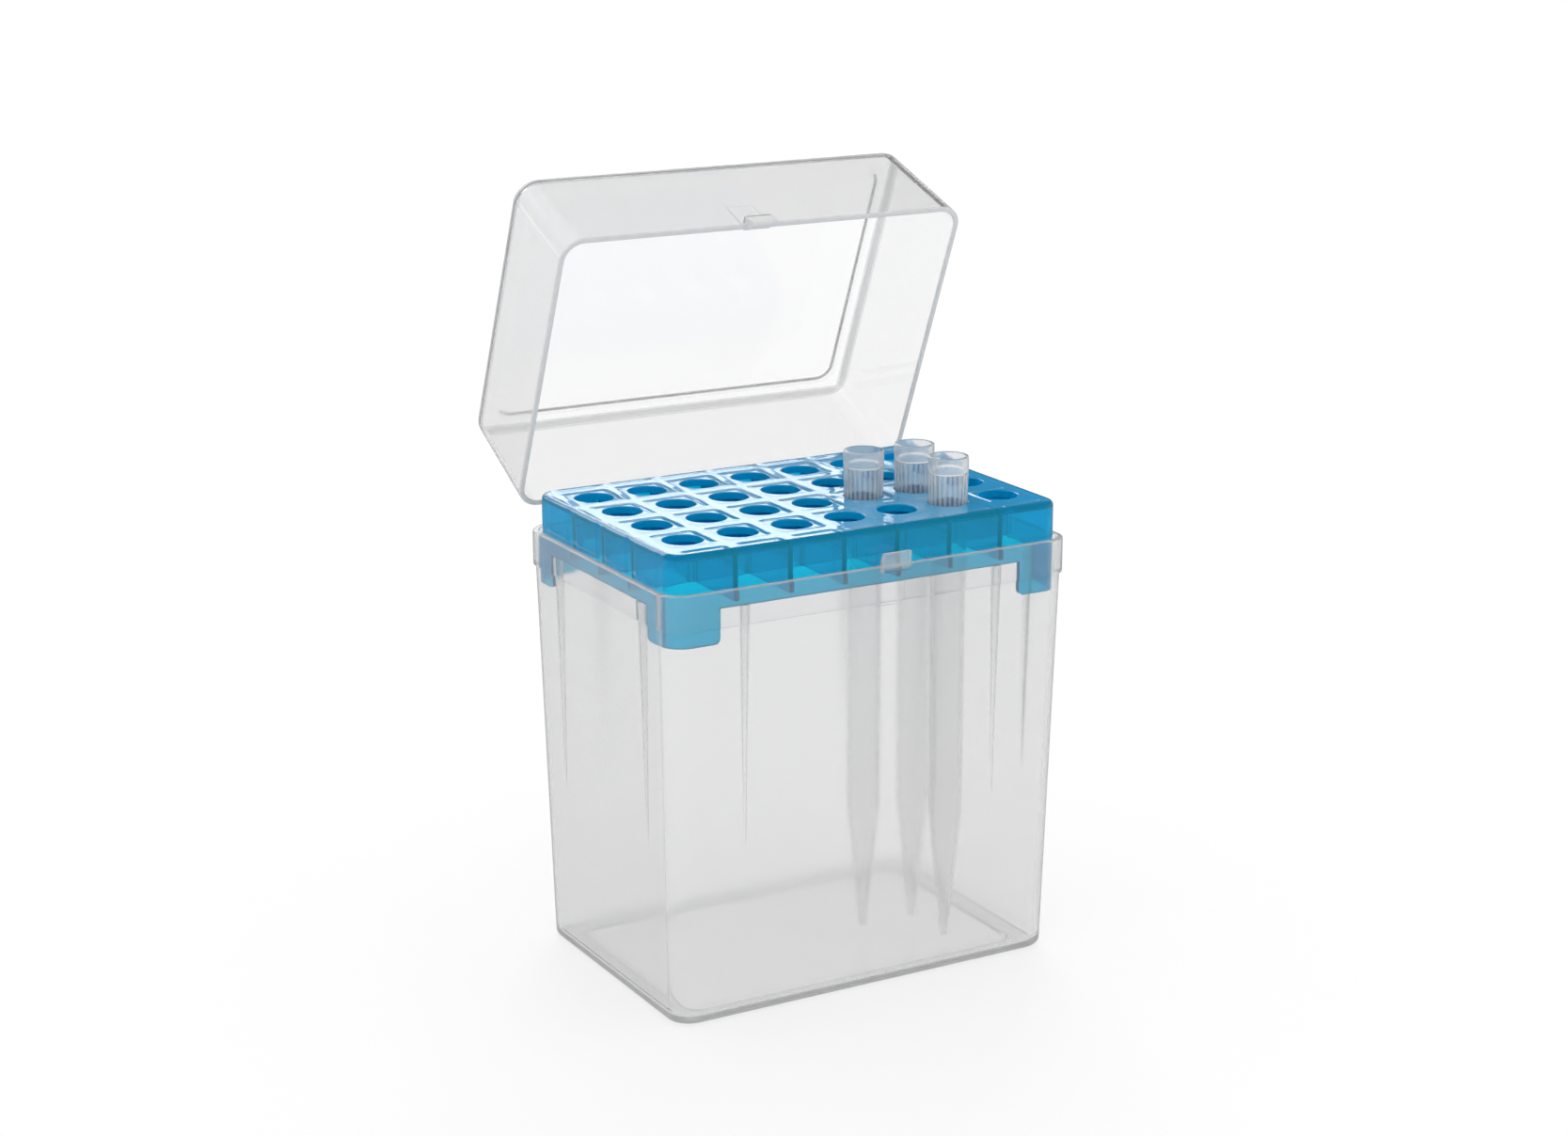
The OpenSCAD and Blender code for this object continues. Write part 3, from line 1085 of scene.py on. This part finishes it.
@dataclass
class Lid:
    """The lid, with its field, hinge arms and thumb tab, in millimetres, modelled shut."""

    rim: tuple[float, float] = RIM
    z: float = 122.6
    height: float = 35.5
    wall: float = 1.6
    lean: float = 1.3
    corner: float = 7.0
    edge_round: float = 2.3
    cove: float = 1.2
    lip_round: float = 0.4
    border: float = 6.0
    field_depth: float = 1.1
    field_slope: float = 1.5
    field_round: float = 0.5
    arm: tuple[float, float] = (38.3, 5.0)
    arm_root: tuple[float, float] = (0.4, 4.6)
    arm_bite: float = 0.4
    arm_round: float = 0.3
    bore_r: float = 1.65
    heel_h: tuple[float, float] = (-1.6, -4.6)
    heel_inset: float = 0.4
    stop_gap: float = 0.03
    open_angle: float = 66.8
    tab: Tab = field(default_factory=lambda: Tab(-8.1, 8.3, 3.8, 2.9))

    def shell(self) -> Model:
        """The walls and the top with its sunken field."""
        rim, top, ceiling = self.rim, self.z + self.height, self.z + self.height - self.wall
        small = (rim[0] - self.lean, rim[1] - self.lean)
        wide = (small[0] - self.border, small[1] - self.border)
        narrow = (wide[0] - self.field_slope, wide[1] - self.field_slope)
        mouth, inner = [tuple(value - self.wall for value in half) for half in (rim, small)]
        bump = (wide[0] + self.wall / 2, wide[1] + self.wall / 2)
        bump_low = (bump[0] - self.field_slope, bump[1] - self.field_slope)
        model = Model.block("lid_shell", (-rim[0], -rim[1], self.z), (*rim, top))
        model.round_edges(self.corner, 12, upright)
        model.take_cap(1)
        model.grow((small[0] / rim[0], small[1] / rim[1], 1))
        model.inset_to(small, wide, 1.0)
        model.inset(self.field_slope, -self.field_depth)
        model.take_cap(-1)
        model.inset(self.wall)
        model.push(self.height - self.wall, mouth, inner)
        model.inset_to(inner, bump, 0.2)
        model.inset(self.field_slope, self.field_depth)
        model.round_edges(self.edge_round, 8, lambda edge: on_rings(edge, (top, small)))
        model.round_edges(self.cove, 6, lambda edge: on_rings(edge, (ceiling, inner)))
        depth = self.field_depth
        for rings in (((top, wide), (top - depth, narrow)), ((ceiling, bump), (ceiling - depth, bump_low))):
            model.round_edges(self.field_round, 3, lambda edge, rings=rings: on_rings(edge, *rings))
        model.round_edges(self.lip_round, 3, lambda edge: level(self.z, edge) and creased(edge))
        return model.done()

    def arm_plate(self) -> Model:
        """The right arm, with the eye that turns on a pin and the heel that stops on the band."""
        y, z = HINGE
        (left, thick), rear, edge_r = self.arm, self.rim[1], self.arm_round
        low, high = (self.z + rise for rise in self.arm_root)
        model = Model.rod("arm", EYE_R, (left, y, z), thick, 48)
        foot = (left, rear - self.arm_bite, low), (left + thick, rear + self.arm_bite, high)
        model.wrap(Model.block("arm_foot", *foot))
        model.round_edges(edge_r, 2, lambda edge: creased(edge, SHARP) and flat_in_x(edge))
        start = (left + edge_r, rear - self.wall / 2, low + edge_r)
        end = (left + thick - edge_r, rear + self.arm_bite / 2, high - edge_r)
        model.add(Model.block("arm_root", start, end))
        model.add(self.heel())
        return model.cut(Model.rod("bore", self.bore_r, (left - 1, y, z), thick + 2, 40))

    def heel(self) -> Model:
        """The heel of the right arm, which meets the band when the lid is open."""
        y, z = HINGE
        left, thick = self.arm
        stop, near, far = self.stop_gap + self.rim[1] - y, EYE_R / 2, EYE_R * 0.86
        heel = [(stop, self.heel_h[0]), (stop, self.heel_h[1]), (-near, -far), (-far, near)]
        turned = math.radians(self.open_angle)
        cos, sin = math.cos(turned), math.sin(turned)
        corners = [(y + a * cos - b * sin, z + a * sin + b * cos) for a, b in heel]
        return Model.outline("heel", corners, left + self.heel_inset, thick - 2 * self.heel_inset)

    def matt(self, rim: float, band: float, walls: float) -> MattRimWithPaintedShade:
        """The matt rim of the open lid, and the painted grey shade on its walls and along the edges of its
        top.

        Args:
            rim: How matt its rim is.
            band: How much more painted grey shade lies on the edges of its top than on its walls.
            walls: How much painted grey shade darkens its walls.

        Returns:
            Its rim, and the painted shade on its walls and along the edges of its top.
        """
        turned = math.radians(self.open_angle)
        (y, z), sin, cos = HINGE, math.sin(turned), math.cos(turned)
        edge = MattEdge(sin, cos, self.z - z + y * sin + z * cos, rim, (0.2, 0.7))
        small = (self.rim[0] - self.lean, self.rim[1] - self.lean)
        return MattRimWithPaintedShade(edge, HINGE, self.open_angle, small, self.z + self.height, band, walls)

    def build(self, material: bpy.types.Material) -> bpy.types.Object:
        """Models the whole lid, turns it open and dresses it."""
        model = self.shell()
        arm = self.arm_plate()
        model.add(arm.copy("arm_left").flip())
        model.add(arm)
        model.add(self.tab.build((-self.rim[1], self.z), self.wall, self.lean / self.height, up=-1))
        model.tilt(-self.open_angle, (0, *HINGE))
        model.rename("lid_clear")
        return model.finish(material)


def lathe(name: str, profile: Sequence[tuple[float, float]], steps: int) -> Model:
    """Turns a closed outline of radii and heights about Z.

    Args:
        name: The model's name.
        profile: The outline's corners.
        steps: How many facets it has round the axis.

    Returns:
        The model, in object mode.
    """
    model = Model.ring(name, [(radius, 0.0, z) for radius, z in profile])
    model.select_all()
    bpy.ops.mesh.spin(steps=steps, angle=math.tau, center=(0, 0, 0), axis=(0, 0, 1), use_auto_merge=True)
    model.face_outwards()
    model.select_all()
    bpy.ops.mesh.delete_loose(use_verts=True, use_edges=True, use_faces=False)
    return model.done()


@dataclass
class TipRack:
    """The rack plate with its holes, skirt, webs and legs, in millimetres."""

    half: tuple[float, float] = (61.0, 41.6)
    top: float = 132.9
    plate_t: float = 2.0
    skirt_z: float = 117.4
    leg_z: float = 107.7
    web_z: float = 118.4
    wall: float = 1.5
    web: float = 1.2
    corner: float = 5.5
    edge_round: float = 1.5
    cell_round: float = 0.5
    grid: tuple[int, int] = (7, 4)
    pitch: tuple[float, float] = (16.6, 17.8)
    hole_r: float = 5.5
    flare: float = 0.35
    leg: tuple[float, float] = (14.0, 12.5)
    leg_round: float = 1.6

    @property
    def inner(self) -> tuple[float, float]:
        """Half sizes of the room inside the skirt."""
        return self.half[0] - self.wall, self.half[1] - self.wall

    def places(self) -> list[tuple[int, int]]:
        """The column and row of every hole."""
        return [(col, row) for col in range(self.grid[0]) for row in range(self.grid[1])]

    def hole(self, col: int, row: int) -> tuple[float, float]:
        """The centre of a hole, counted from the front left."""
        return (col - (self.grid[0] - 1) / 2) * self.pitch[0], (row - (self.grid[1] - 1) / 2) * self.pitch[1]

    def block(self) -> Model:
        """The outside of the rack, still solid."""
        low, high = (-self.half[0], -self.half[1], self.leg_z), (*self.half, self.top)
        model = Model.block("rack", low, high)
        model.round_edges(self.corner, 12, upright)
        model.round_edges(self.edge_round, 6, lambda edge: level(self.top, edge))
        return model.done()

    def cells(self) -> Model:
        """The hollows under the plate, one round each hole, up to the webs and the skirt."""
        made = []
        inner = self.inner

        def outer(edge: bmesh.types.BMEdge) -> bool:
            place = edge.verts[0].co
            return upright(edge) and abs(place.x) > inner[0] - CLOSE and abs(place.y) > inner[1] - CLOSE

        for spot in self.places():
            low, high = [0.0, 0.0, self.leg_z - 1], [0.0, 0.0, self.top - self.plate_t]
            for axis, centre in enumerate(self.hole(*spot)):
                reach = (self.pitch[axis] - self.web) / 2
                low[axis] = -inner[axis] if spot[axis] == 0 else centre - reach
                high[axis] = inner[axis] if spot[axis] == self.grid[axis] - 1 else centre + reach
            model = Model.block("cell", low, high)
            model.round_edges(self.corner - self.wall, 8, outer)
            model.round_edges(self.cell_round, 2, lambda edge: upright(edge) and creased(edge, SHARP))
            made.append(model)
        return made[0].join(made[1:])

    def holes(self) -> Model:
        """The cutter for all the holes, flared to round their upper edges."""
        low, high, steps = self.web_z - 0.5, self.top + 1, 4
        profile = [(0.0, low), (self.hole_r, low)]
        for step in range(steps + 1):
            angle = math.pi / 2 * step / steps
            out, down = self.flare * (1 - math.cos(angle)), self.flare * (1 - math.sin(angle))
            profile.append((self.hole_r + out, self.top + CLOSE - down))
        profile += [(self.hole_r + self.flare, high), (0.0, high)]
        cutter = lathe("hole", profile, 64)
        made = [cutter.copy("hole", (*self.hole(*spot), 0)) for spot in self.places()]
        cutter.drop()
        return made[0].join(made[1:])

    def build(self, material: bpy.types.Material) -> bpy.types.Object:
        """Models the whole rack and dresses it."""
        model = self.block()
        model.cut(self.cells())
        low, inner = self.leg_z - 2, self.inner
        under = Model.block("under", (-inner[0], -inner[1], low), (*inner, self.web_z))
        under.round_edges(self.corner - self.wall, 8, upright)
        model.cut(under)
        wide, ends = self.half[0] + 5, self.leg_ends
        for half in ((ends[0], wide), (wide, ends[1])):
            model.cut(Model.block("gap", (-half[0], -half[1], low), (*half, self.skirt_z)))
        model.cut(self.holes())
        model.round_edges(self.leg_round, 5, self.leg_corner)
        model.rename("tip_rack_blue")
        return model.finish(material)

    @property
    def leg_ends(self) -> tuple[float, float]:
        """How far from the middle the legs start along X and Y."""
        return self.half[0] - self.leg[0], self.half[1] - self.leg[1]

    def leg_corner(self, edge: bmesh.types.BMEdge) -> bool:
        """True if an edge is a lower corner of a leg, across its width."""
        if not level(self.leg_z, edge) or not creased(edge, SHARP):
            return False
        ends = [vert.co for vert in edge.verts]
        return any(all(abs(abs(end[axis]) - self.leg_ends[axis]) < CLOSE for end in ends) for axis in (0, 1))


@dataclass
class Tip:
    """One long tip, with its point down, in millimetres."""

    length: float = 141.5
    mouth_z: float = 146.1
    mouth_r: float = 5.7
    ring_h: float = 4.3
    collar_h: float = 15.1
    core_r: float = 5.25
    body_r: float = 4.85
    waist_r: float = 4.6
    cone_len: float = 36.5
    point_r: float = 1.0
    wall: float = 0.7
    mouth_wall: float = 0.9
    ribs: int = 24
    rib_out: float = 0.4
    rib_tail_r: float = 5.31

    def profile(self) -> list[tuple[float, float]]:
        """Half the section, from the point up the outside and down the inside."""
        top = self.mouth_z
        ring, collar = top - self.ring_h, top - self.ring_h - self.collar_h
        point = top - self.length
        cone = point + self.cone_len
        mouth, core, body, waist = self.mouth_r, self.core_r, self.body_r, self.waist_r
        mouth_in, core_in = mouth - self.mouth_wall, core - self.mouth_wall
        outside = [
            (self.point_r, point),
            (waist - 0.12, cone - 1.2),
            (waist, cone + 0.4),
            (body, collar),
            (core - 0.1, collar + 0.4),
            (core, collar + 0.8),
            (core, ring - 0.5),
            (mouth - 0.05, ring - 0.05),
            (mouth, ring + 0.2),
            (mouth, top - 0.3),
            (mouth - 0.1, top - 0.1),
            (mouth - 0.3, top),
        ]
        inside = [
            (mouth_in + 0.1, top),
            (mouth_in, top - 0.2),
            (core_in + 0.1, ring - 0.5),
            (core_in, ring - 1.5),
            (body - self.wall, collar),
            (waist - self.wall, cone),
            (self.point_r / 2, point),
        ]
        return outside + inside

    def build(self, name: str, place: tuple[float, float], material: bpy.types.Material) -> bpy.types.Object:
        """Models one tip where it hangs and dresses it.

        Args:
            name: The piece's name.
            place: The centre of its hole.
            material: Its finish.

        Returns:
            The finished object.
        """
        steps = self.ribs * 4
        model = lathe(name, self.profile(), steps)
        ring = self.mouth_z - self.ring_h
        low, high = ring - self.collar_h + 0.8, ring - 0.5

        def on_rib(face: bmesh.types.BMFace) -> bool:
            centre = face.calc_center_median()
            around = math.hypot(centre.x, centre.y)
            if not (low < centre.z < high and around > self.core_r - 0.3 and abs(face.normal.z) < 0.3):
                return False
            turn = math.atan2(centre.y, centre.x) / math.tau * steps
            return int(turn + steps) % 4 < 2

        def rib_tail(vert: bmesh.types.BMVert) -> bool:
            return level(low, vert, 0.1) and math.hypot(vert.co.x, vert.co.y) > self.core_r + self.rib_out / 2

        model.select(Element.FACE, on_rib)
        bpy.ops.mesh.extrude_region_shrink_fatten(TRANSFORM_OT_shrink_fatten={"value": self.rib_out})
        model.select(Element.VERTEX, rib_tail)
        share = self.rib_tail_r / (self.core_r + self.rib_out)
        model.grow((share, share, 1))
        model.select_all()
        model.shift((*place, 0))
        return model.finish(material, 40)


# ---- the studio ----


@dataclass
class Studio:
    """Floor, lamp, world and camera, in metres and degrees.

    Attributes:
        aim: Where the camera looks.
        azimuth: How far the camera is turned about Z from the front.
        elevation: How far it looks down.
        roll: How far it is turned about its own line of sight.
        distance: How far it stands from its aim.
        lens: Its focal length in millimetres.
        floor_size: The width of the floor.
        box_side: Where the soft box starts and ends, as X over Y.
        box_rise: Where it starts and ends in height, as a share of the way up.
        box_soft: How wide its soft edges are.
        box_light: How much brighter it is than the room.
        dim_from: Between which heights the room darkens in sharp mirror images.
        dim_near: How much darker it is there in the first mirror images.
        dim_far: How much darker it is there in later ones.
        near: Between which numbers of surfaces the first mirror images end.
        even: How bright the room is where it lights the scene.
        key_place: Where the lamp hangs.
        key_size: Its width and height.
        key_power: Its power in watts.
    """

    aim: tuple[float, float, float] = (-0.00399, 0.0, 0.11258)
    azimuth: float = -29.478
    elevation: float = 15.284
    roll: float = -0.128
    distance: float = 0.83148
    lens: float = 67.935
    floor_size: float = 30.0
    box_side: tuple[float, float] = (-0.49, 0.61)
    box_rise: tuple[float, float] = (0.226, 0.575)
    box_soft: float = 0.01
    box_light: float = 3.6
    dim_from: tuple[float, float] = (0.06, 0.14)
    dim_near: float = 0.88
    dim_far: float = 0.12
    near: tuple[float, float] = (4.0, 5.0)
    even: float = 0.96
    key_place: tuple[float, float, float] = (1.2, 2.2, 2.4)
    key_size: tuple[float, float] = (1.6, 1.2)
    key_power: float = 22.0

    def add_floor(self, material: bpy.types.Material) -> None:
        """Lays the floor far out to all sides."""
        deselect_all()
        bpy.ops.mesh.primitive_plane_add(size=self.floor_size, location=(0, 0, 0))
        floor = bpy.context.active_object
        floor.name = floor.data.name = "floor"
        floor.data.materials.append(material)

    def add_lamp(self) -> None:
        """Hangs a large soft lamp far behind to the right, which no mirror image shows."""
        data = bpy.data.lights.new("key", "AREA")
        data.shape = "RECTANGLE"
        data.size, data.size_y = self.key_size
        data.energy = self.key_power
        lamp = bpy.data.objects.new("key", data)
        bpy.context.scene.collection.objects.link(lamp)
        lamp.location = self.key_place
        lamp.rotation_euler = (Vector(self.aim) - Vector(self.key_place)).to_track_quat("-Z", "Y").to_euler()
        lamp.visible_camera = lamp.visible_transmission = lamp.visible_glossy = False

    def add_world(self) -> None:
        """Surrounds the scene with even light, which is white to the camera and through clear plastic.

        Sharp mirror images show a bright soft box behind the box of tips and dimmer walls round
        it. They fade with the number of surfaces that the light has passed.
        """
        world = bpy.data.worlds.new("studio")
        bpy.context.scene.world = world
        nodes = Nodes(world)
        camera, glossy, through = nodes.rays()
        way = nodes.add("ShaderNodeTexCoord", output="Generated")
        x, y, z = (nodes.add("ShaderNodeSeparateXYZ", sockets={0: way}, output=axis) for axis in range(3))
        (left, right), (low, high), soft = self.box_side, self.box_rise, self.box_soft
        side = x / y
        across = side.ramp(left - soft, left + soft) * (1.0 - side.ramp(right - soft, right + soft))
        upward = z.ramp(low, low + soft) * (1.0 - z.ramp(high, high + 5 * soft))
        box = across * upward * y.ramp(0.0, soft)
        bounced, spread = nodes.path("Glossy Depth"), nodes.path("Diffuse Depth")
        sharp = bounced.math("MINIMUM", 1.0) * (1.0 - spread.math("MINIMUM", 1.0))
        near = 1.0 - nodes.path("Ray Depth").ramp(*self.near)
        dim = z.ramp(*self.dim_from) * (self.dim_far + (self.dim_near - self.dim_far) * near)
        shown = 1.0 + sharp * (box * near * self.box_light - dim)
        even, seen = nodes.glow("Background", self.even), nodes.glow("Background", shown)
        mixed = nodes.mix((camera + glossy + through).math("MINIMUM", 1.0), even, seen)
        nodes.show(mixed, place="World")

    def add_camera(self) -> None:
        """Sets the camera in front, to the left and a little above."""
        turn, rise = math.radians(self.azimuth), math.radians(self.elevation)
        back = Vector((math.sin(turn) * math.cos(rise), -math.cos(turn) * math.cos(rise), math.sin(rise)))
        data = bpy.data.cameras.new("camera")
        data.sensor_width = 36.0
        data.lens = self.lens
        data.clip_start, data.clip_end = 0.05, 60.0
        camera = bpy.data.objects.new("camera", data)
        bpy.context.scene.collection.objects.link(camera)
        camera.location = Vector(self.aim) + back * self.distance
        upright_view = (-back).to_track_quat("-Z", "Y")
        camera.rotation_euler = (upright_view @ Quaternion((0, 0, 1), math.radians(self.roll))).to_euler()
        bpy.context.scene.camera = camera

    def build(self, floor: bpy.types.Material) -> None:
        """Sets up the whole studio."""
        scene = bpy.context.scene
        scene.view_settings.view_transform = "Standard"
        scene.cycles.max_bounces = scene.cycles.transmission_bounces = 24
        scene.cycles.transparent_max_bounces = 16
        scene.cycles.glossy_bounces = 8
        scene.cycles.diffuse_bounces = scene.cycles.volume_bounces = 4
        self.add_floor(floor)
        self.add_world()
        self.add_camera()
        self.add_lamp()


def hand_over(piece: bpy.types.Object, node: str, body: str) -> None:
    """Lets a piece stand for a solid of the part.

    Args:
        piece: The finished piece.
        node: The solid that it stands for.
        body: The body that it rides on.
    """
    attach(piece, body)
    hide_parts(node)
    LOG.info("%s stands for %s on %s, %d faces", piece.name, node, body, len(piece.data.polygons))


def main() -> None:
    """Builds the pieces and the studio in order."""
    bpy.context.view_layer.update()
    base, lid, rack = BaseBox(), Lid(), TipRack()
    tip_places = ((4, 1), (5, 1), (5, 0))
    base_plastic = CloudyPlastic(
        name="base_plastic_cloudy",
        clear=0.985,
        haze=0.12,
        ior=1.4,
        murk=2.0,
        milk=115.0,
        rim=MattEdge(0.0, -1.0, -base.height, 0.25),
    ).build()
    lid_plastic = CloudyPlastic(
        name="lid_plastic_clear",
        clear=0.99,
        haze=0.06,
        ior=1.37,
        murk=5.0,
        milk=45.0,
        # The lid's rim is matt; its walls and the round edges of its top get painted grey shade.
        rim=lid.matt(rim=0.95, band=0.45, walls=0.06),
    ).build()
    tip_plastic = CloudyPlastic(
        name="tip_plastic_clear",
        clear=0.95,
        haze=0.1,
        ior=1.33,
        murk=0.5,
        milk=80.0,
        rim=MattRibs(rack.hole(*tip_places[0]), rack.pitch, radius=5.25, share=0.36),
        tone=0.98,
    ).build()
    blue = BluePlastic(
        name="rack_plastic_blue",
        tint=(0.01, 0.75, 0.94, 1.0),
        body=(0.004, 0.42, 0.86, 1.0),
        clear=0.76,
        gloss=0.04,
        depth=(0.2, 0.82, 0.955),
        pitch=rack.pitch,
        sink=0.12,
        half=rack.half,
        plate=(rack.top - 6.0, rack.top - 2.0),
        thick=0.55,
    ).build()

    hand_over(base.build(base_plastic), "base_box", "base")
    hand_over(lid.build(lid_plastic), "lid", "lid")
    hand_over(rack.build(blue), "tip_rack", "base")
    for index, place in enumerate(tip_places, 1):
        piece = Tip().build(f"tip_{index}_clear", rack.hole(*place), tip_plastic)
        hand_over(piece, f"tip_{index}", "base")

    Studio().build(WhiteFloor("floor_white", share=0.7, mirrored=0.4).build())


if __name__ == "__main__":
    main()
